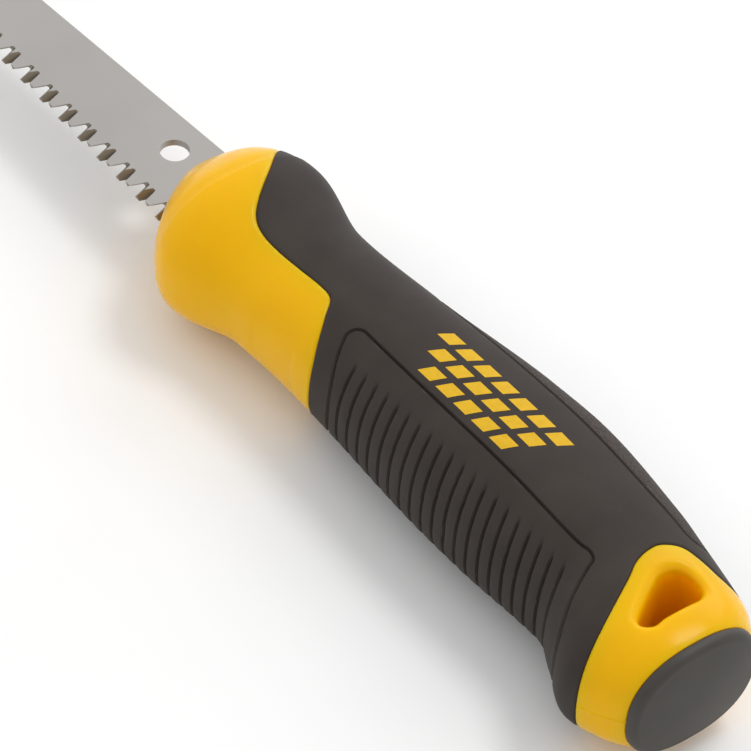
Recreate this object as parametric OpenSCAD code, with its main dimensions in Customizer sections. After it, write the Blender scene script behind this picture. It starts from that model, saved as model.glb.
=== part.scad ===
// Fixed-blade drywall saw, lying on its side.
// +X points to the blade's tip, +Y to the toothed side and +Z out of the upper side.
// Inside the modules x starts at the seat of the butt pad, y at the handle's axis
// and z at the middle of the blade's thickness.

/* [Blade] */
// Length of blade in front of the handle's nose
blade_l = 156; // [120:1:200]
// Thickness of the blade
blade_t = 1.5; // [1:0.1:2.5]
// Distance of the tooth tips from the handle's axis
tooth_line = 11; // [9:0.5:13]
// Height of the blade at the handle's nose, tooth tips included
blade_root_h = 20; // [17:0.5:22]
// Height of the blade behind its plunge point
blade_tip_h = 7.4; // [6:0.2:12]
// Length of the ground plunge point
point_l = 16; // [10:1:30]
// Diameter of the hole in the blade
blade_hole_d = 5.8; // [4:0.2:7]
// Distance of that hole in front of the nose
blade_hole_x = 7; // [6:0.5:20]
// Distance of that hole from the tooth tips
blade_hole_up = 12.4; // [8:0.2:14]

/* [Teeth] */
// Distance from one tooth tip to the next
tooth_pitch = 3.175; // [2.5:0.025:5]
// Depth of a gullet below the tooth tips
gullet_depth = 3.3; // [2:0.1:4.4]
// Angle between the two flanks of a gullet
gullet_angle = 30; // [16:1:50]
// Radius of a gullet's round floor
gullet_floor_r = 0.4; // [0.2:0.05:0.6]
// Angle by which a gullet leans through the blade's thickness
fleam_angle = 40; // [0:5:45]
// Distance of the first gullet behind the nose
first_gullet = 6.3; // [2:0.1:10]

/* [Tang] */
// Length of tang inside the handle
tang_l = 86; // [60:1:95]
// Height of the tang
tang_h = 13; // [8:0.5:16]
// Distance of the tang's middle from the tooth tips
tang_up = 11; // [9:0.5:12]
// Diameter of the two anchor holes in the tang
anchor_hole_d = 6; // [3:0.5:8]

/* [Handle] */
// Length of the handle from the seat of the butt pad to the nose
handle_l = 150; // [125:1:180]
// Thickness of the handle at the palm swell and at the bolster
handle_t = 30; // [25:0.5:36]
// Thickness of the handle at the neck
neck_t = 24.2; // [20:0.2:25]
// Thickness of the handle at the butt
butt_t = 27.2; // [22:0.2:33]
// Rise of the spine over the axis at the palm swell
palm_rise = 22; // [19:0.5:26]
// Rise of the spine over the axis at the neck
neck_rise = 14.9; // [13:0.1:18]
// Rise of the spine over the axis at the bolster
bolster_rise = 17.8; // [15:0.2:21]
// Drop of the belly under the axis at the butt
butt_drop = 20.4; // [17:0.2:24]
// Drop of the belly under the axis between the butt and the fingers
waist_drop = 13.3; // [12:0.1:16]
// Drop of the belly under the axis at the bolster
bolster_drop = 19.8; // [17:0.2:23]
// Exponent of the cross-section, where 2 is an ellipse
squareness = 2.4; // [2:0.1:3.2]

/* [Grip] */
// Thickness of the soft sleeve
skin_t = 3; // [2:0.2:4]
// Width of a print bar
print_bar_w = 3.6; // [2:0.2:4.4]
// Height of a print bar
print_bar_h = 2.8; // [1.6:0.2:3.6]
// Sideways lean of a print bar over its height
print_lean = 1.4; // [0:0.2:2]
// Distance from one print bar to the next
print_step = 5.2; // [4.8:0.2:5.4]
// Distance from one row of print to the next
print_row = 4.2; // [3.8:0.2:4.4]
// Depth of the inlaid print
print_t = 0.3; // [0.2:0.1:0.6]

/* [Butt] */
// Bulge of the butt pad behind its seat
pad_dome = 3.5; // [2:0.5:6]
// Rim of the butt left bare around the pad
pad_rim = 0.6; // [0.3:0.1:1.5]
// Diameter of the plug that holds the pad
pad_plug_d = 9; // [6:0.5:12]
// Length of that plug
pad_plug_l = 3.5; // [2:0.5:4]
// Clearance between the plug and its socket
plug_clearance = 0.1; // [0.05:0.05:0.3]
// Width of the lanyard hole's rounded corners
lanyard_corner_d = 4.8; // [3.6:0.2:6]

/* [Hidden] */

eps = 0.01;
cut_reach = 60;
pattern_l = 150;
peg_clearance = 0.15;
ring_points = 32;
ring_step = 6;
dome_steps = 6;
print_x = 46;
print_y = -8.6;

blade_end = handle_l + blade_l;
blade_rear = handle_l - tang_l;
shoulder_x = handle_l - 12;

// Positions along the handle belong to a 150 mm pattern and stretch with handle_l.
function along(x) = x * handle_l / pattern_l;

// Stations of the handle: x, spine rise, belly drop, half thickness.
stations = [
    [along(0), 13.6, 15.6, butt_t / 2 - 1],
    [along(5), 16.2, 18.6, butt_t / 2 - 0.4],
    [along(11), 17.6, butt_drop, butt_t / 2],
    [along(19), 19, 16.8, butt_t / 2],
    [along(28), 20.4, waist_drop, butt_t / 2 + 0.3],
    [along(50), palm_rise, 14.6, handle_t / 2],
    [along(64), palm_rise - 0.9, 15, handle_t / 2 - 0.5],
    [along(94), 16.8, 14.4, neck_t / 2 + 0.7],
    [along(115), neck_rise, 15.4, neck_t / 2],
    [along(131), bolster_rise, bolster_drop, handle_t / 2],
    [along(137), bolster_rise * 0.955, bolster_drop * 0.9, handle_t / 2 * 0.953],
    [along(142), bolster_rise * 0.837, bolster_drop * 0.667, handle_t / 2 * 0.787],
    [along(147), bolster_rise * 0.618, bolster_drop * 0.343, handle_t / 2 * 0.467],
    [along(150), bolster_rise * 0.45, bolster_drop * 0.126, handle_t / 2 * 0.227]
];
last = len(stations) - 1;
// Station under the bolster where the core's neck and the sleeve's blank end.
neck_end = last - 2;

// Secant slope of column c after station i, and a slope that never overshoots a station.
function secant(i, c) =
    (stations[i + 1][c] - stations[i][c]) / (stations[i + 1][0] - stations[i][0]);
function slope(i, c) =
    i == 0 ? secant(0, c)
    : i == last ? secant(last - 1, c)
    : secant(i - 1, c) * secant(i, c) <= 0 ? 0
    : 2 / (1 / secant(i - 1, c) + 1 / secant(i, c));
function station_before(x, i = 0) =
    i >= last - 1 || x < stations[i + 1][0] ? i : station_before(x, i + 1);
function cubic(i, c, h, t) =
    (2 * t ^ 3 - 3 * t ^ 2 + 1) * stations[i][c]
    + (t ^ 3 - 2 * t ^ 2 + t) * h * slope(i, c)
    + (3 * t ^ 2 - 2 * t ^ 3) * stations[i + 1][c]
    + (t ^ 3 - t ^ 2) * h * slope(i + 1, c);
function value_in(i, x, c) =
    let(h = stations[i + 1][0] - stations[i][0])
    cubic(i, c, h, (x - stations[i][0]) / h);
function value_at(x, c) = value_in(station_before(x), x, c);

// One cross-section, drawn in from the outer surface by inset.
function power(v) = sign(v) * pow(abs(v), 2 / squareness);
function section(x, inset) =
    let(
        spine = value_at(x, 1) - inset,
        belly = value_at(x, 2) - inset,
        half_t = value_at(x, 3) - inset
    )
    [for (k = [0:ring_points - 1])
        let(a = 360 * k / ring_points)
        [(belly - spine) / 2 + (belly + spine) / 2 * power(cos(a)), half_t * power(sin(a))]];

// Ring positions: every station, and even steps between two stations.
function rings(first, final) =
    [for (i = [first:final - 1])
        let(
            x0 = stations[i][0],
            gap = stations[i + 1][0] - x0,
            steps = ceil(gap / ring_step)
        )
        for (k = [0:steps - 1])
            x0 + gap * k / steps];

// Height range of the whole saw across the blade plane, used to centre it.
belly_max = max([for (s = stations) s[2]]);
spine_max = max([for (s = stations) s[1]]);
rest_z = max([for (s = stations) s[3]]);
mid_x = (blade_end - pad_dome) / 2;
mid_y = (belly_max - spine_max) / 2;

// Turns an outline drawn as (y, z) to stand across the x axis.
module across(x) {
    translate([x, 0, 0])
        rotate([90, 0, 90])
            linear_extrude(eps)
                children();
}

// The handle's whole form between two stations, drawn in by inset.
module form(inset, first = 0, final = last) {
    xs = concat(rings(first, final), [stations[final][0] - eps]);
    for (k = [0:len(xs) - 2])
        hull() {
            across(xs[k])
                polygon(section(xs[k], inset));
            across(xs[k + 1])
                polygon(section(xs[k + 1], inset));
        }
}

// Plan outlines of the bare parts of the core, seen along z.
module bolster_outline() {
    offset(r = -4, $fn = 48)
        offset(delta = 4)
            offset(r = 1.5, $fn = 48)
                offset(delta = -1.5)
                    polygon([
                        [along(93), 40],
                        [along(93), 15],
                        [along(96.5), 9.5],
                        [along(101.5), 3.7],
                        [along(123.5), 4.7],
                        [along(132), -4.8],
                        [along(139), -12.6],
                        [along(141), -17],
                        [along(141), -40],
                        [handle_l + 10, -40],
                        [handle_l + 10, 40]
                    ]);
}

module butt_outline() {
    hull() {
        translate([along(16.2), -7.2])
            circle(r = 4.3, $fn = 48);
        polygon([[-10, 30], [along(3), 30], [along(0.5), -20], [-10, -20]]);
    }
}

module bare_zones() {
    linear_extrude(2 * cut_reach, center = true)
        union() {
            bolster_outline();
            butt_outline();
        }
}

module lanyard_outline() {
    hull() {
        translate([along(8.3), 4.9])
            circle(d = lanyard_corner_d - 1.6, $fn = 32);
        translate([along(12.9), -5.7])
            circle(d = lanyard_corner_d, $fn = 32);
        translate([along(9.8), -5.7])
            circle(d = lanyard_corner_d, $fn = 32);
    }
}

// The tooth line is straight, and the back of the blade slopes down to the point.
tang_y = tooth_line - tang_up;
tang_chamfer = 3;
shoulder_l = 6;
tip_flat = 2;
tip_h = 1.6;

module blade_outline() {
    back_root = tooth_line - blade_root_h;
    back_tip = tooth_line - blade_tip_h;
    polygon([
        [blade_rear, tang_y - tang_h / 2 + tang_chamfer],
        [blade_rear + tang_chamfer, tang_y - tang_h / 2],
        [shoulder_x - shoulder_l, tang_y - tang_h / 2],
        [shoulder_x, back_root],
        [handle_l, back_root],
        [blade_end - point_l, back_tip],
        [blade_end, tooth_line - tip_h],
        [blade_end - tip_flat, tooth_line],
        [shoulder_x, tooth_line],
        [shoulder_x - shoulder_l, tang_y + tang_h / 2],
        [blade_rear + tang_chamfer, tang_y + tang_h / 2],
        [blade_rear, tang_y + tang_h / 2 - tang_chamfer]
    ]);
}

anchor_xs = [blade_rear + 12, shoulder_x - 16];

module anchor_pins(d) {
    for (x = anchor_xs)
        translate([x, tang_y, 0])
            cylinder(h = 3 * blade_t, d = d, center = true, $fn = 48);
}

// One gullet: a V with a round floor, open past the tooth tips.
module gullet_outline() {
    open = 1.5;
    floor_y = gullet_floor_r - gullet_depth;
    half_open = gullet_floor_r + (open - floor_y) * tan(gullet_angle / 2);
    union() {
        polygon([
            [-half_open, open],
            [-gullet_floor_r, floor_y],
            [gullet_floor_r, floor_y],
            [half_open, open]
        ]);
        translate([0, floor_y])
            circle(r = gullet_floor_r, $fn = 24);
    }
}

// Gullets lean to one face and the other in turn, which sharpens every tooth.
gullet_x = handle_l - first_gullet;
gullets = floor((blade_end - 2 * tooth_pitch - gullet_x) / tooth_pitch);

module blade() {
    color("silver")
        difference() {
            linear_extrude(blade_t, center = true)
                blade_outline();
            for (k = [0:gullets - 1])
                translate([gullet_x + k * tooth_pitch, tooth_line, 0])
                    rotate([0, (k % 2 == 0 ? 1 : -1) * fleam_angle, 0])
                        linear_extrude(6 * blade_t, center = true)
                            gullet_outline();
            translate([handle_l + blade_hole_x, tooth_line - blade_hole_up, 0])
                cylinder(h = 3 * blade_t, d = blade_hole_d, center = true, $fn = 64);
            anchor_pins(anchor_hole_d);
        }
}

module pad_plug(extra) {
    translate([0, 1, 0])
        rotate([0, 90, 0])
            translate([0, 0, -eps])
                cylinder(h = pad_plug_l + extra + eps, d = pad_plug_d + 2 * extra, $fn = 48);
}

// Print: three rows of leaning bars on each side of the grip.
module print_outline() {
    for (row = [0:2])
        for (k = [0:6 - row])
            translate([along(print_x) + print_step * (k + row / 2), print_y + print_row * row])
                polygon([
                    [0, 0],
                    [print_bar_w, 0],
                    [print_bar_w + print_lean, print_bar_h],
                    [print_lean, print_bar_h]
                ]);
}

module print_zone() {
    linear_extrude(2 * cut_reach, center = true)
        print_outline();
}

module handle_core() {
    color("goldenrod")
        union() {
            difference() {
                union() {
                    intersection() {
                        form(0);
                        bare_zones();
                    }
                    form(skin_t, 1, neck_end);
                }
                linear_extrude(blade_t, center = true)
                    blade_outline();
                linear_extrude(2 * cut_reach, center = true)
                    lanyard_outline();
                pad_plug(plug_clearance);
            }
            anchor_pins(anchor_hole_d - 2 * peg_clearance);
        }
}

module grip() {
    color("dimgray")
        difference() {
            form(0, 0, neck_end);
            bare_zones();
            form(skin_t, 1, neck_end);
            difference() {
                print_zone();
                form(print_t, 3, last - 4);
            }
        }
}

module side_prints() {
    color("gold")
        intersection() {
            difference() {
                form(0, 3, last - 5);
                form(print_t, 3, last - 5);
            }
            print_zone();
        }
}

module butt_pad() {
    ys = stations[0][1] - pad_rim;
    yb = stations[0][2] - pad_rim;
    wz = stations[0][3] - pad_rim;
    color("dimgray")
        union() {
            for (k = [0:dome_steps - 1])
                hull() {
                    pad_ring(ys, yb, wz, 90 * k / dome_steps);
                    pad_ring(ys, yb, wz, 90 * (k + 1) / dome_steps);
                }
            pad_plug(0);
        }
}

// One cross-section of the domed pad: 0 degrees is its seat and 90 its crown.
module pad_ring(ys, yb, wz, a) {
    shrink = max(cos(a), 0.02);
    across(-pad_dome * sin(a) - (a == 0 ? eps : 0))
        polygon([for (k = [0:ring_points - 1])
            let(b = 360 * k / ring_points)
            [
                (yb - ys) / 2 + (yb + ys) / 2 * pow(shrink, 0.8) * power(cos(b)),
                wz * pow(shrink, 0.8) * power(sin(b))
            ]]);
}

// Moves a piece so that the saw stands centred on its lowest face.
module placed() {
    translate([-mid_x, -mid_y, rest_z])
        children();
}

placed() blade();
placed() handle_core();
placed() grip();
placed() butt_pad();
placed() side_prints();
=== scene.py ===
"""The looks of a fixed-blade drywall saw: moulded handle, soft grip, butt pad, ink print and blade.

Pieces are modelled in millimetres in the handle's own axes: x from the butt pad's seat to the
nose, y from the handle's axis towards the teeth, z from the middle of the blade's thickness.
finish_piece() then puts each one in its place in the frame.
"""
import math

import bmesh
import bpy
import numpy as np
from mathutils import Matrix, Vector


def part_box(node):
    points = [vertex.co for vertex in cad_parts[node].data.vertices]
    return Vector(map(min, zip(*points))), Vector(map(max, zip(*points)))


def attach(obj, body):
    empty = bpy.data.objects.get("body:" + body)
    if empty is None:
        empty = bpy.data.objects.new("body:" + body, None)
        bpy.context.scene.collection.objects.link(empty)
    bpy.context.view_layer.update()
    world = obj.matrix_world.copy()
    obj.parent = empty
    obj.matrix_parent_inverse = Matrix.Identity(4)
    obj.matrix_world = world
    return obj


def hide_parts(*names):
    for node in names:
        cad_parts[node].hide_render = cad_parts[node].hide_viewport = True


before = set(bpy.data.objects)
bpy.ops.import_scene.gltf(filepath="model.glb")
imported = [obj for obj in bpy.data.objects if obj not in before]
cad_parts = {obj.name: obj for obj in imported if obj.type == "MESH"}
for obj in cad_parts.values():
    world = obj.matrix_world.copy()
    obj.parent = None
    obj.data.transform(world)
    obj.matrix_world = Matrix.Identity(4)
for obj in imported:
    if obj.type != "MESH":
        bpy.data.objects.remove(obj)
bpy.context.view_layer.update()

MM = 0.001
TOOTH_LINE = 11.0
GULLET_DEPTH = 3.5
HANDLE_L = 150.0
AROUND = 152
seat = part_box("handle_core")[0].x
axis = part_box("blade")[1].y - TOOTH_LINE * MM
middle = (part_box("grip")[0].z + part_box("grip")[1].z) / 2
ORIGIN = Vector((seat, axis, middle))

# ---------------------------------------------------------------- the handle's form, in mm

# x, rise of the spine, drop of the belly, half thickness
STATIONS = np.array([
    [0, 13.6, 15.6, 12.6],
    [5, 16.2, 18.6, 13.2],
    [11, 17.6, 20.4, 13.6],
    [19, 19, 16.8, 13.6],
    [28, 20.4, 13.3, 13.9],
    [50, 22, 14.6, 15],
    [64, 21.1, 15, 14.5],
    [94, 16.8, 14.4, 12.8],
    [115, 14.9, 15.4, 12.1],
    [131, 17.8, 19.8, 15],
    [137, 17, 17.82, 14.3],
    [142, 14.9, 13.2, 11.8],
    [147, 11, 6.8, 7],
    [150, 8, 2.5, 3.4],
])
SQUARENESS = 2.4
GRID = 0.7
SKIN_T = 3.0
SEAT_RADIUS = 14.0
RIM_ROUND = 4.5
PAD_RIM = 0.55


def profile(x):
    """Spine rise, belly drop and half thickness at each x, on smooth curves with no overshoot."""
    knots, values = STATIONS[:, 0], STATIONS[:, 1:]
    gap = np.diff(knots)[:, None]
    secant = np.diff(values, axis=0) / gap
    same_way = secant[:-1] * secant[1:] > 0
    both = np.where(same_way, secant[:-1] + secant[1:], 1)
    inner = np.where(same_way, 2 * secant[:-1] * secant[1:] / both, 0)
    slope = np.vstack([secant[:1], inner, secant[-1:]])
    i = np.clip(np.searchsorted(knots, x, side="right") - 1, 0, len(gap) - 1)
    t = ((x - knots[i]) / gap[i, 0])[:, None]
    return (
        (2 * t**3 - 3 * t**2 + 1) * values[i]
        + (t**3 - 2 * t**2 + t) * gap[i] * slope[i]
        + (3 * t**2 - 2 * t**3) * values[i + 1]
        + (t**3 - t**2) * gap[i] * slope[i + 1]
    )


def skin(x, turn, scale):
    """Points on the handle's skin: turn 0 is the belly, and scale draws a ring in to its middle."""
    spine, belly, half = profile(x).T
    centre, reach = (belly - spine) / 2, (belly + spine) / 2
    c, s = np.cos(turn), np.sin(turn)
    flattened = abs(c / reach) ** SQUARENESS + abs(s / half) ** SQUARENESS
    radius = scale * flattened ** (-1 / SQUARENESS)
    return np.stack([x, centre + radius * c, radius * s], axis=1)


def rolled_sheet(rows, around, behind=False):
    """A closed skin: a grid rolled round the handle's axis, one (x, scale) row after another.

    A row with scale 0 is a pole. behind lays the rows behind the seat, on the seat's own outline.
    """
    bm = bmesh.new()
    bmesh.ops.create_grid(bm, x_segments=len(rows) - 1, y_segments=around, size=1)
    spread = (coordinates(bm)[:, :2] + 1) / 2
    row = np.rint(spread[:, 0] * (len(rows) - 1)).astype(int)
    turn = np.rint(spread[:, 1] * around) * 2 * math.pi / around
    x, scale = np.array(rows).T
    places = skin(np.maximum(x[row], 0) * (not behind), turn, scale[row])
    places[:, 0] = x[row]
    move_to(bm, places)
    bmesh.ops.remove_doubles(bm, verts=bm.verts, dist=0.001)
    bmesh.ops.recalc_face_normals(bm, faces=bm.faces)
    return bm


def rim_scale(x):
    """How far the skin is drawn in beside the seat, where the butt's rim is rounded."""
    return 1 - edge_round(x, RIM_ROUND, PAD_RIM) / SEAT_RADIUS


def handle_sheet():
    """The whole handle's skin, from its seat to its nose."""
    along = [(x, rim_scale(x)) for x in np.linspace(0, HANDLE_L, round(HANDLE_L / GRID))]
    seat_rows = [(0, share * rim_scale(0)) for share in (0, 0.3, 0.6, 0.85)]
    nose_rows = [(HANDLE_L, share) for share in (0.97, 0.85, 0.6, 0.3, 0)]
    return rolled_sheet(seat_rows + along + nose_rows, AROUND)


# ---------------------------------------------------------------- mesh helpers


def coordinates(bm):
    return np.array([v.co[:] for v in bm.verts])


def move_to(bm, places):
    for vert, place in zip(bm.verts, places):
        vert.co = place


def smooth_outline(points, steps=8):
    """A closed curve through the points, as a fine outline."""
    p = np.array(points, float)
    before, after, beyond = np.roll(p, 1, 0), np.roll(p, -1, 0), np.roll(p, -2, 0)
    rows = []
    for t in np.arange(steps) / steps:
        rows.append(0.5 * (
            2 * p + (after - before) * t
            + (2 * before - 5 * p + 4 * after - beyond) * t**2
            + (3 * p - before - 3 * after + beyond) * t**3
        ))
    return np.stack(rows, 1).reshape(-1, 2)


def distance(places, outline):
    """How far each place is from an outline in plan, negative inside it."""
    x, y = places[:, 0], places[:, 1]
    nearest = np.full(len(x), 1e9)
    inside = np.zeros(len(x), bool)
    for (ax, ay), (bx, by) in zip(outline, np.roll(outline, -1, 0)):
        dx, dy = bx - ax, by - ay
        t = np.clip(((x - ax) * dx + (y - ay) * dy) / (dx * dx + dy * dy + 1e-12), 0, 1)
        nearest = np.minimum(nearest, np.hypot(x - ax - t * dx, y - ay - t * dy))
        if ay != by:
            inside ^= ((ay > y) != (by > y)) & (x < dx * (y - ay) / dy + ax)
    return np.where(inside, -nearest, nearest)


def cut_where_zero(bm, field, allowed=None):
    """Lays an edge line in the mesh wherever the field is zero, as a knife would."""
    near = 0.12
    places = coordinates(bm)
    bm.verts.index_update()
    value = field(places)
    keep = np.ones(len(places), bool) if allowed is None else allowed(places)
    edges = list(bm.edges)
    ends = np.array([(e.verts[0].index, e.verts[1].index) for e in edges])
    a, b = value[ends[:, 0]], value[ends[:, 1]]
    crossing = (a * b < 0) & keep[ends[:, 0]] & keep[ends[:, 1]]
    share = np.where(crossing, a / np.where(crossing, a - b, 1), 0)
    verts = list(bm.verts)
    on_line = {verts[i] for i in ends[crossing & (share < near), 0]}
    on_line |= {verts[i] for i in ends[crossing & (share > 1 - near), 1]}
    on_line |= {verts[i] for i in np.nonzero((value == 0) & keep)[0]}
    fresh = []
    for i in np.nonzero(crossing)[0]:
        edge = edges[i]
        if edge.verts[0] in on_line or edge.verts[1] in on_line:
            continue
        fresh.append(bmesh.utils.edge_split(edge, verts[ends[i, 0]], float(share[i]))[1])
    bmesh.ops.connect_verts(bm, verts=list(on_line) + fresh)


def sink(bm, depth):
    """Moves the surface inwards by depth, in mm, along its own normals."""
    bm.normal_update()
    places = coordinates(bm)
    normals = np.array([v.normal[:] for v in bm.verts])
    move_to(bm, places - normals * depth(places)[:, None])


def thicken(bm, wall):
    """Gives an open skin a wall, measured inwards along its own normals."""
    bm.normal_update()
    inward = {v.co.copy().freeze(): v.normal.copy() for v in bm.verts}
    made = bmesh.ops.extrude_face_region(bm, geom=bm.faces[:], use_keep_orig=True)
    for part in made["geom"]:
        if isinstance(part, bmesh.types.BMVert):
            part.co = part.co - inward[part.co.copy().freeze()] * wall
    bmesh.ops.recalc_face_normals(bm, faces=bm.faces)


def edge_round(d, width, height):
    """Depth of a rounded edge at a distance d from it."""
    reach = np.clip(1 - d / width, 0, 1)
    return height * (1 - np.sqrt(1 - reach**2))


def groove(d, width, height):
    """Depth of a soft-edged groove at a distance d from its middle."""
    return height * np.cos(np.clip(abs(d) / width, 0, 1) * math.pi / 2) ** 2


def ease(t):
    t = np.clip(t, 0, 1)
    return t * t * (3 - 2 * t)


def finish_piece(bm, name, node, slot, *materials):
    """Puts a modelled piece in its place in the frame, and hides the CAD node it stands for."""
    bm.transform(Matrix.Translation(ORIGIN) @ Matrix.Scale(MM, 4))
    mesh = bpy.data.meshes.new(name)
    for face in bm.faces:
        face.smooth = True
    bm.to_mesh(mesh)
    bm.free()
    mesh.set_sharp_from_angle(angle=math.radians(42))
    for material in materials:
        mesh.materials.append(material)
    piece = bpy.data.objects.new(name, mesh)
    bpy.context.scene.collection.objects.link(piece)
    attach(piece, "root")
    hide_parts(node)
    return piece


# ---------------------------------------------------------------- outlines on the handle, in mm

BOLSTER = smooth_outline([
    (143, -30), (142.4, -20), (140.6, -14.4), (136.6, -9.7), (132.1, -4.8), (127.6, 0.7),
    (124.3, 3.9), (121, 5), (115.9, 4.7), (110.3, 4.2), (104.9, 3.7), (101.2, 4.1), (98.6, 7.1),
    (95.8, 10.7), (93.1, 14.6), (91.5, 20), (91, 30), (120, 34), (160, 34), (160, -34),
    (150, -34),
])
BUTT = smooth_outline([
    (3, 30), (6, 23.5), (8.7, 18.2), (12, 11.5), (16.7, 2.7), (19.4, -1.7), (20.4, -6),
    (19.9, -8.6), (18, -11.4), (14, -13), (10.3, -14), (6.5, -16.5), (4.5, -22), (3, -30),
    (-10, -30), (-10, 30),
])
LANYARD = smooth_outline([
    (7.2, 1.9), (6.9, 4.6), (8.3, 6.3), (9.9, 5.2), (14.1, -1.4), (15.2, -4.2),
    (14.7, -6.9), (12.8, -8.1), (9.3, -8), (7.6, -6.4), (7.3, -3.5),
])
BELLY_PANEL = smooth_outline([
    (20.6, 12), (23.4, 6), (24.1, 4.3), (26.2, 3.6), (29.5, 4), (45, 4.2), (60, 4.3), (75, 4.3),
    (88, 4.2), (91.3, 4.4), (92.5, 6.4), (91.5, 8.6), (89.8, 11.2), (87, 14.7), (84, 20),
    (80, 28), (50, 30), (12, 28), (14.4, 21), (16.6, 17.8),
])
SPINE_PANEL = smooth_outline([
    (97, -30), (95.6, -20), (94.2, -16), (91.5, -14.5), (86, -14.3), (56, -14.5), (26, -14.4),
    (20.4, -14.5), (18, -16.2), (16, -20), (15, -30),
])


def seam(places):
    """Distance from the nearer seam of the grip, negative on the bare plastic."""
    return np.minimum(distance(places, BOLSTER), distance(places, BUTT))


# Ribs under the fingers: grooves that start below the panel's top edge and lean back as they fall
RIBS = 20
RIB_PITCH = 3.1
RIB_GROOVE = 0.42
RIB_DEPTH = 0.72
RIB_CROWN = 0.15
FIRST_RIB = 86.0


def rib_place(places):
    """Which rib groove a place is on, as a running number, and how far down that groove it is."""
    x, y = places[:, 0], places[:, 1]
    rough = np.clip((FIRST_RIB - x) / RIB_PITCH, 0, RIBS - 1)
    top = 9.7 - 1.4 * rough / (RIBS - 1)
    fall = np.clip((y - top) / (15 - top), -0.5, 1.3)
    lean = 1.7 + 1.7 * rough / (RIBS - 1)
    return (FIRST_RIB - x - lean * fall) / RIB_PITCH, (y - top)


def rib_distance(places):
    number, _ = rib_place(places)
    nearest = np.clip(np.rint(number), 0, RIBS - 1)
    return abs(number - nearest) * RIB_PITCH


def on_ribs(places):
    number, down = rib_place(places)
    return (number > -0.6) & (number < RIBS - 0.4) & (down > -2.5)


# ---------------------------------------------------------------- the core

SEAM_ROUND = 0.9
SEAM_DROP = 0.45
FRONT_CREASE = 134.8
FRONT_DROP = 0.45
FRONT_FADE = 1.6
# The raised flash along the middle of the butt, and the step at the witness line
FLASH_W = 0.26
FLASH_H = 0.15
FLASH_END = 60
WITNESS_X = 98.6
WITNESS_LEAN = 0.12
WITNESS_STEP = 0.2
WITNESS_W = 0.15
LIP = 2.1


def front_face(places):
    """Depth that turns the nose down from a soft crease across the bolster."""
    beyond = np.clip(places[:, 0] - FRONT_CREASE, 0, None)
    return FRONT_DROP * (1 - np.exp(-beyond / FRONT_FADE))


def witness_distance(places):
    """Distance in front of the mould's witness line under the bolster."""
    return places[:, 0] - WITNESS_X + WITNESS_LEAN * (places[:, 1] - 15)


def lip_drop(places):
    """How far the lanyard hole's flared lip lies below the skin."""
    d = np.clip(distance(places, LANYARD), 0, LIP)
    return LIP - np.sqrt(LIP**2 - (LIP - d) ** 2)


def core_depth(places):
    """How far the core lies below the skin: a skin's thickness wherever the grip covers it."""
    x, y, z = places.T
    d = seam(places)
    shown = edge_round(-d, SEAM_ROUND, SEAM_DROP)
    witness = WITNESS_STEP * ease((witness_distance(places) + WITNESS_W) / (2 * WITNESS_W))
    witness *= ease((y - 11.5) / 4) * (x > FLASH_END) * (x < 110)
    flash = groove(z, FLASH_W, FLASH_H) * (d < -0.2) * (y > 2) * (x < FLASH_END)
    return np.where(d > 0.04, SKIN_T, shown + witness - flash) + front_face(places)


def build_core(plastic, plastic_with_painted_light):
    bm = handle_sheet()
    for offset in (-SEAM_ROUND, -0.5, -0.22, -0.07, 0, 0.05):
        cut_where_zero(bm, lambda p, o=offset: seam(p) - o)
    for offset in (LIP, 1.5, 1.0, 0.6, 0.3, 0.1, 0):
        cut_where_zero(bm, lambda p, o=offset: distance(p, LANYARD) - o, lambda p: p[:, 0] < 25)
    for offset in (-FLASH_W, 0, FLASH_W):
        cut_where_zero(bm, lambda p, o=offset: p[:, 2] - o,
                       lambda p: (p[:, 1] > 2) & (p[:, 0] < FLASH_END))
    for offset in (-WITNESS_W, WITNESS_W):
        cut_where_zero(bm, lambda p, o=offset: witness_distance(p) - o, lambda p: p[:, 1] > 5)
    cut_where_zero(bm, lambda p: p[:, 0] - FRONT_CREASE)
    sink(bm, core_depth)
    centres = np.array([f.calc_center_median()[:] for f in bm.faces])
    hole = [f for f, d in zip(bm.faces, distance(centres, LANYARD)) if d < 0]
    bmesh.ops.delete(bm, geom=hole, context="FACES")
    places = coordinates(bm)
    near_hole = (distance(places, LANYARD) < LIP) & (abs(places[:, 2]) > 6)
    places[:, 2] -= np.sign(places[:, 2]) * np.where(near_hole, lip_drop(places), 0)
    move_to(bm, places)
    rim = [e for e in bm.edges if e.is_boundary]
    for share in (0.75, 0.5, 0.25, 0):
        wall = bmesh.ops.extrude_edge_only(bm, edges=rim)["geom"]
        # The hole's wall takes the second plastic, whose brighter orange is painted light for the
        # light that soaks through the wall
        for face in (part for part in wall if isinstance(part, bmesh.types.BMFace)):
            face.material_index = 1
        for vert in (part for part in wall if isinstance(part, bmesh.types.BMVert)):
            vert.co.z *= share / (share + 0.25)
        rim = [part for part in wall if isinstance(part, bmesh.types.BMEdge)]
    centre_line = [v for v in bm.verts if abs(v.co.z) < 0.001 and v.is_boundary]
    bmesh.ops.remove_doubles(bm, verts=centre_line, dist=0.02)
    bmesh.ops.recalc_face_normals(bm, faces=bm.faces)
    return finish_piece(bm, "moulded_core", "handle_core", "core_plastic", plastic, plastic_with_painted_light)


# ---------------------------------------------------------------- the grip

SEAM_LIP = 0.5
LIP_DROP = 0.4
PANEL_GROOVE = 0.38
BELLY_GROOVE_DEPTH = 0.6
SPINE_GROOVE_DEPTH = 0.55
PRINT_BED = 0.06


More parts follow.
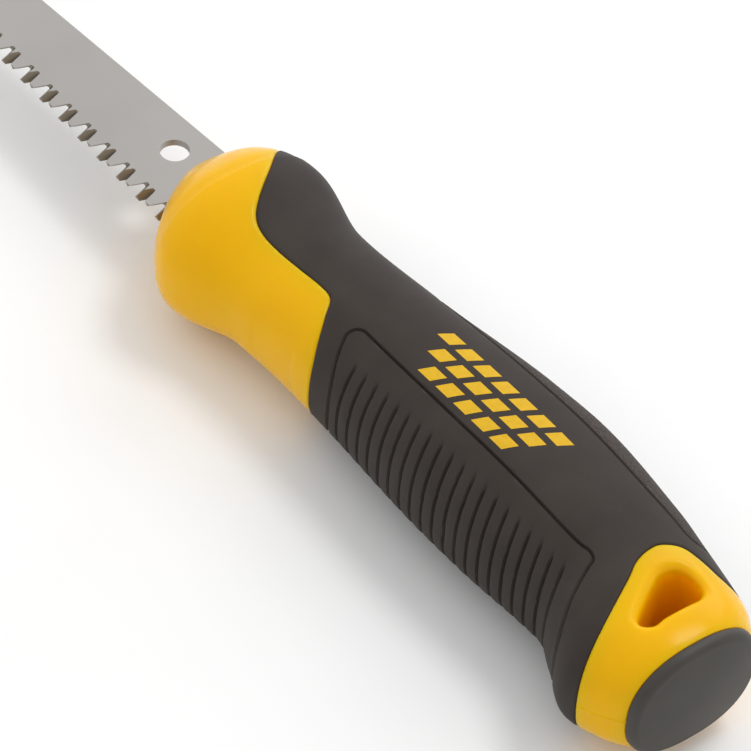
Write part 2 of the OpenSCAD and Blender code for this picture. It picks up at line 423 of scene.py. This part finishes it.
def grip_depth(places):
    """How far the grip's outside lies below the skin: ribs, panel lines, seams and print bed."""
    number, down = rib_place(places)
    d = rib_distance(places)
    fade = ease((down + 1.2) / 2.6) * ((number > -0.55) & (number < RIBS - 0.45))
    cut = RIB_DEPTH * np.clip(1 - d / RIB_GROOVE, 0, 1) ** 0.8
    crown = RIB_CROWN * np.clip(1 - 2 * d / RIB_PITCH, 0, 1) ** 2
    ribs = fade * (cut + crown)
    belly_line = groove(distance(places, BELLY_PANEL), PANEL_GROOVE, BELLY_GROOVE_DEPTH)
    spine_line = groove(distance(places, SPINE_PANEL), PANEL_GROOVE, SPINE_GROOVE_DEPTH)
    lines = np.maximum(belly_line, spine_line)
    print_bed = PRINT_BED * ease(1.6 - distance(places, PRINT_FIELD) / 4)
    edge = edge_round(seam(places), SEAM_LIP, LIP_DROP)
    return edge + np.maximum(ribs, lines) + print_bed + front_face(places)


def build_grip(rubber, textured_rubber):
    bm = handle_sheet()
    for offset in (0, 0.06, 0.18, 0.34, SEAM_LIP):
        cut_where_zero(bm, lambda p, o=offset: seam(p) - o)
    bare = np.array([f.calc_center_median()[:] for f in bm.faces])
    gone = [f for f, d in zip(bm.faces, seam(bare)) if d < 0]
    bmesh.ops.delete(bm, geom=gone, context="FACES")
    for panel in (BELLY_PANEL, SPINE_PANEL):
        for offset in (-PANEL_GROOVE, -0.2, 0, 0.2, PANEL_GROOVE):
            cut_where_zero(bm, lambda p, o=offset, q=panel: distance(p, q) - o)
    cut_where_zero(bm, lambda p: np.sin(math.pi * rib_place(p)[0]), on_ribs)
    for offset in (RIB_GROOVE / 2, RIB_GROOVE):
        cut_where_zero(bm, lambda p, o=offset: rib_distance(p) - o, on_ribs)
    centres = np.array([f.calc_center_median()[:] for f in bm.faces])
    for face, d in zip(bm.faces, distance(centres, SPINE_PANEL)):
        face.material_index = int(d < -PANEL_GROOVE)
    sink(bm, grip_depth)
    thicken(bm, SKIN_T - LIP_DROP)
    return finish_piece(bm, "soft_grip", "grip", "grip_rubber", rubber, textured_rubber)


# ---------------------------------------------------------------- print on the grip

BAR_PITCH = 5.2
ROW_PITCH = 4.2
BAR_W = 3.6
BAR_H = 2.8
BAR_LEAN = 1.4
INK_SINK = 0.03
INK_T = 0.06
PRINT_FIELD = np.array([(46, -8.6), (83, -8.6), (83, 2.6), (46, 2.6)])


def print_bars():
    """Lower left corner of every bar, row by row, with each row one bar shorter."""
    return [
        (46 + BAR_PITCH * k + BAR_PITCH / 2 * row, -8.6 + ROW_PITCH * row)
        for row in range(3)
        for k in range(7 - row)
    ]


def build_prints(ink):
    whole = handle_sheet()
    centres = np.array([f.calc_center_median()[:] for f in whole.faces])
    far = (distance(centres, PRINT_FIELD) > 2) | (abs(centres[:, 2]) < 5)
    bmesh.ops.delete(whole, geom=[f for f, out in zip(whole.faces, far) if out], context="FACES")
    lean = Vector((BAR_LEAN, BAR_H, 0)).normalized()
    side = Vector((lean.y, -lean.x, 0))
    for x, y in print_bars():
        low, high = Vector((x, y, 0)), Vector((x + BAR_W, y, 0))
        cuts = [(low, side), (high, side), (low, Vector((0, 1, 0)))]
        cuts.append((low + Vector((0, BAR_H, 0)), Vector((0, 1, 0))))
        for place, facing in cuts:
            middle_of_bar = Vector((x + (BAR_W + BAR_LEAN) / 2, y + BAR_H / 2, 0))
            near = [f for f in whole.faces
                    if (f.calc_center_median().xy - middle_of_bar.xy).length < 4.2]
            parts = set(near)
            for f in near:
                parts.update(f.edges)
                parts.update(f.verts)
            bmesh.ops.bisect_plane(
                whole, geom=list(parts), dist=0.001, plane_co=place, plane_no=facing
            )
    kept = set()
    for x, y in print_bars():
        for f in whole.faces:
            c = f.calc_center_median()
            along = c.x - x - (c.y - y) * BAR_LEAN / BAR_H
            if 0 < along < BAR_W and y < c.y < y + BAR_H:
                kept.add(f)
    bmesh.ops.delete(whole, geom=[f for f in whole.faces if f not in kept], context="FACES")
    sink(whole, lambda p: np.full(len(p), INK_SINK))
    thicken(whole, INK_T)
    return finish_piece(whole, "side_bars", "side_prints", "print_ink", ink)


# ---------------------------------------------------------------- the butt pad

PAD_DOME = 3.5
PAD_RADIUS = 15.0
PAD_SIDE = 0.7
PAD_EDGE = 1.7
PAD_BEVEL = 0.3


def build_pad(rubber):
    """A disc with a short straight side, a rounded edge and a gently domed face."""
    rim = rim_scale(0)
    rows = [(0, 0)]
    rows += [(0, share * rim - PAD_BEVEL / PAD_RADIUS) for share in (0.5, 0.9, 1)]
    rows += [(-PAD_BEVEL, rim), (-PAD_SIDE, rim)]
    for angle in np.linspace(0, math.pi / 2, 9)[1:]:
        drawn_in = PAD_EDGE * (1 - math.cos(angle)) / PAD_RADIUS
        rows.append((-PAD_SIDE - PAD_EDGE * math.sin(angle), rim - drawn_in))
    face = rows[-1][1]
    for share in np.linspace(1, 0, 14)[1:]:
        crown = (PAD_DOME - PAD_SIDE - PAD_EDGE) * (1 - share**2)
        rows.append((-PAD_SIDE - PAD_EDGE - crown, share * face))
    bm = rolled_sheet(rows, 120, behind=True)
    return finish_piece(bm, "domed_pad", "butt_pad", "pad_rubber", rubber)


# ---------------------------------------------------------------- finishes


def linear(hex_colour):
    """A screen colour such as "#ebbb00" as linear red, green, blue and alpha."""
    parts = [int(hex_colour[i:i + 2], 16) / 255 for i in (1, 3, 5)]
    return [c / 12.92 if c <= 0.04045 else ((c + 0.055) / 1.055) ** 2.4 for c in parts] + [1.0]


def add(tree, kind, inputs=None, **settings):
    """Adds one shader node with its settings, its values and its links."""
    node = tree.nodes.new(kind)
    for name, value in settings.items():
        setattr(node, name, value)
    for socket, value in (inputs or {}).items():
        if isinstance(value, bpy.types.NodeSocket):
            tree.links.new(value, node.inputs[socket])
        else:
            node.inputs[socket].default_value = value
    return node


def start(name):
    material = bpy.data.materials.new(name)
    material.use_nodes = True
    tree = material.node_tree
    tree.nodes.clear()
    place = add(tree, "ShaderNodeTexCoord").outputs["Object"]
    return material, tree, place


def grains_per_metre(size_mm):
    return 1 / (size_mm * MM)


def close(tree, colour, roughness, normal, **constants):
    """Ends a material in one principled shader."""
    inputs = {"Base Color": colour, "Roughness": roughness, "Normal": normal}
    inputs.update({name.replace("_", " "): value for name, value in constants.items()})
    shader = add(tree, "ShaderNodeBsdfPrincipled", inputs)
    add(tree, "ShaderNodeOutputMaterial", {"Surface": shader.outputs["BSDF"]})


def shades(tree, place, dark, light, patch_mm):
    """Slow, faint colour variation over patches of about patch_mm."""
    clouds = add(tree, "ShaderNodeTexNoise",
                 {"Vector": place, "Scale": grains_per_metre(patch_mm), "Detail": 4.0})
    ramp = add(tree, "ShaderNodeValToRGB", {"Fac": clouds.outputs["Fac"]})
    ramp.color_ramp.elements[0].position = 0.3
    ramp.color_ramp.elements[0].color = linear(dark)
    ramp.color_ramp.elements[1].position = 0.7
    ramp.color_ramp.elements[1].color = linear(light)
    return ramp.outputs["Color"], clouds.outputs["Fac"]


def rough_between(tree, fac, low, high):
    spread = add(tree, "ShaderNodeMapRange", {"Value": fac, "To Min": low, "To Max": high})
    return spread.outputs["Result"]


def polypropylene(name, dark, light):
    """Yellow polypropylene from a polished mould: a soft gloss with a faint ripple of flow."""
    material, tree, place = start(name)
    colour, clouds = shades(tree, place, dark, light, 18)
    # Real flow ripple is too fine to show, so it is drawn coarser, at 0.9 mm
    ripple = add(tree, "ShaderNodeTexNoise",
                 {"Vector": place, "Scale": grains_per_metre(0.9), "Detail": 3.0})
    bump = add(tree, "ShaderNodeBump",
               {"Height": ripple.outputs["Fac"], "Strength": 0.05, "Distance": 0.05 * MM})
    close(tree, colour, rough_between(tree, clouds, 0.18, 0.24), bump.outputs["Normal"],
          IOR=1.49, Specular_IOR_Level=0.14, Subsurface_Weight=0.5, Subsurface_Scale=0.008,
          Subsurface_Radius=(1.0, 0.3, 0.05))
    return material


def elastomer(name, dark, light, patch_mm, grain_mm, depth_mm, roughness, shine):
    """Soft thermoplastic elastomer from a spark-eroded mould: dull, with a fine even grain."""
    material, tree, place = start(name)
    colour, clouds = shades(tree, place, dark, light, patch_mm)
    # A real spark-eroded grain is too fine to show, so it is drawn coarser, at grain_mm
    grain = add(tree, "ShaderNodeTexNoise",
                {"Vector": place, "Scale": grains_per_metre(grain_mm), "Detail": 2.0})
    bump = add(tree, "ShaderNodeBump",
               {"Height": grain.outputs["Fac"], "Strength": 0.8, "Distance": depth_mm * MM})
    close(tree, colour, rough_between(tree, clouds, roughness - 0.04, roughness + 0.04),
          bump.outputs["Normal"], IOR=1.5, Specular_IOR_Level=shine)
    return material


def steel_ground():
    """Carbon steel sheet, ground along its length: a grey satin with fine faint lines."""
    material, tree, place = start("steel_ground")
    stretched = add(tree, "ShaderNodeMapping", {"Vector": place, "Scale": (0.02, 1.0, 1.0)})
    # Real grinding lines are too fine to show, so they are drawn coarser, 0.35 mm apart
    lines = add(tree, "ShaderNodeTexNoise",
                {"Vector": stretched.outputs["Vector"], "Scale": grains_per_metre(0.35),
                 "Detail": 4.0})
    flat, _ = shades(tree, place, "#a5a19e", "#aca9a6", 30)
    # The teeth's ground bevels, picked out by the way their faces lean, are coloured a darker,
    # browner grey than the flat sides of the sheet
    facing = add(tree, "ShaderNodeSeparateXYZ",
                 {"Vector": add(tree, "ShaderNodeNewGeometry").outputs["True Normal"]})
    upright = add(tree, "ShaderNodeMath", {0: facing.outputs["Z"]}, operation="ABSOLUTE")
    toothward = add(tree, "ShaderNodeMath", {0: facing.outputs["Y"], 1: -0.5},
                    operation="GREATER_THAN")
    leaning = add(tree, "ShaderNodeMath", {0: upright.outputs["Value"], 1: 0.9},
                  operation="LESS_THAN")
    across = add(tree, "ShaderNodeSeparateXYZ", {"Vector": place}).outputs["Y"]
    gullet_floor = axis + (TOOTH_LINE - GULLET_DEPTH) * MM
    in_teeth = add(tree, "ShaderNodeMath", {0: across, 1: gullet_floor}, operation="GREATER_THAN")
    on_tooth = add(tree, "ShaderNodeMath",
                   {0: toothward.outputs["Value"], 1: in_teeth.outputs["Value"]},
                   operation="MULTIPLY")
    bevel = add(tree, "ShaderNodeMath",
                {0: leaning.outputs["Value"], 1: on_tooth.outputs["Value"]},
                operation="MULTIPLY")
    colour = add(tree, "ShaderNodeMix", {"Factor": bevel.outputs["Value"], 6: flat,
                                         7: linear("#8b8172")}, data_type="RGBA").outputs[2]
    bump = add(tree, "ShaderNodeBump",
               {"Height": lines.outputs["Fac"], "Strength": 0.12, "Distance": 0.02 * MM})
    rough = rough_between(tree, lines.outputs["Fac"], 0.36, 0.46)
    close(tree, colour, rough, bump.outputs["Normal"], Metallic=1.0)
    return material


def pad_printed_ink():
    """Yellow pad-printing ink: flat, thin and slightly uneven where it lies on the grain."""
    material, tree, place = start("pad_printed_ink")
    colour, clouds = shades(tree, place, "#d3a61a", "#ddb022", 1.2)
    # The ink takes up the grip's grain, which is too fine to show and drawn coarser, at 0.3 mm
    grain = add(tree, "ShaderNodeTexNoise",
                {"Vector": place, "Scale": grains_per_metre(0.3), "Detail": 2.0})
    bump = add(tree, "ShaderNodeBump",
               {"Height": grain.outputs["Fac"], "Strength": 0.3, "Distance": 0.03 * MM})
    close(tree, colour, rough_between(tree, clouds, 0.5, 0.6), bump.outputs["Normal"],
          IOR=1.5, Specular_IOR_Level=0.2)
    return material


def painted_board():
    """Matt white board under the saw."""
    material, tree, place = start("painted_board")
    colour, clouds = shades(tree, place, "#f4f4f4", "#f8f8f8", 60)
    bump = add(tree, "ShaderNodeBump",
               {"Height": clouds, "Strength": 0.02, "Distance": 0.1 * MM})
    close(tree, colour, 0.85, bump.outputs["Normal"])
    return material


# ---------------------------------------------------------------- build

plastic = polypropylene("polypropylene_moulded", "#e6ae00", "#ebb400")
# The wall of the lanyard hole is painted a brighter, deeper orange: painted light, for the light
# that soaks through it
plastic_with_painted_light = polypropylene("polypropylene_painted_light_in_hole", "#fdb400", "#ffba00")
grip_rubber = elastomer("elastomer_fine", "#37312d", "#3e3834", 9, 0.35, 0.04, 0.55, 0.12)
spine_rubber = elastomer("elastomer_coarse", "#29231f", "#504742", 0.4, 0.5, 0.35, 0.7, 0.2)
pad_rubber = elastomer("elastomer_pad", "#403d39", "#474440", 12, 0.4, 0.03, 0.45, 0.22)

build_core(plastic, plastic_with_painted_light)
build_grip(grip_rubber, spine_rubber)
build_prints(pad_printed_ink())
build_pad(pad_rubber)
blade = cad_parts["blade"]
blade.data.materials.clear()
blade.data.materials.append(steel_ground())

# ---------------------------------------------------------------- floor, light and camera

floor_mesh = bmesh.new()
bmesh.ops.create_grid(floor_mesh, x_segments=1, y_segments=1, size=3.0)
floor_data = bpy.data.meshes.new("board")
floor_mesh.to_mesh(floor_data)
floor_mesh.free()
floor = bpy.data.objects.new("board", floor_data)
floor_data.materials.append(painted_board())
bpy.context.scene.collection.objects.link(floor)

world = bpy.data.worlds.new("studio")
bpy.context.scene.world = world
world.use_nodes = True
sky = world.node_tree
background = sky.nodes["Background"]
background.inputs["Color"].default_value = (1, 1, 1, 1)
# White above and behind the saw, and a little dimmer where the butt and the belly face
DIM_SIDE = Vector((-0.8, 0.4, 0.4)).normalized()
heading = add(sky, "ShaderNodeTexCoord").outputs["Generated"]
towards = add(sky, "ShaderNodeVectorMath", {0: heading, 1: DIM_SIDE}, operation="DOT_PRODUCT")
glow = add(sky, "ShaderNodeMapRange", {"Value": towards.outputs["Value"], "From Min": 0.1,
                                       "From Max": 0.85, "To Min": 0.98, "To Max": 0.7})
sky.links.new(glow.outputs["Result"], background.inputs["Strength"])


def softbox(name, place, target, size, power):
    """A large soft light, aimed at a point."""
    light = bpy.data.lights.new(name, "AREA")
    light.shape = "DISK"
    light.size = size
    light.energy = power
    lamp = bpy.data.objects.new(name, light)
    lamp.location = place
    lamp.rotation_euler = (Vector(target) - Vector(place)).to_track_quat("-Z", "Y").to_euler()
    bpy.context.scene.collection.objects.link(lamp)


softbox("overhead", (-0.14, -0.44, 0.9), (-0.1, 0, 0), 0.34, 2.4)
softbox("spine_side", (0.35, -0.9, 0.6), (0, 0, 0), 0.8, 2.0)

# The eye looks from behind the butt, over the belly, and is rolled a little
AZIMUTH, ELEVATION, ROLL = (math.radians(a) for a in (230.2, 46.67, 4.18))
AIM = Vector((75, 0, 0))
EYE_DISTANCE = 1000.0
PAN_RIGHT, PAN_UP = -10.11, 8.29
back = Vector((
    math.sin(AZIMUTH) * math.cos(ELEVATION),
    -math.cos(AZIMUTH) * math.cos(ELEVATION),
    math.sin(ELEVATION),
))
level = Vector((math.cos(AZIMUTH), math.sin(AZIMUTH), 0))
right = math.cos(ROLL) * level + math.sin(ROLL) * back.cross(level)
up = back.cross(right)
eye = AIM + EYE_DISTANCE * back + PAN_RIGHT * right + PAN_UP * up
camera_data = bpy.data.cameras.new("camera")
camera_data.sensor_width = 36
camera_data.lens = 265.9
camera_data.clip_start = 0.01
camera_data.clip_end = 20
camera = bpy.data.objects.new("camera", camera_data)
turn = Matrix((right, up, back)).transposed().to_4x4()
camera.matrix_world = Matrix.Translation(ORIGIN + eye * MM) @ turn
bpy.context.scene.collection.objects.link(camera)
bpy.context.scene.camera = camera
bpy.context.scene.view_settings.view_transform = "Standard"
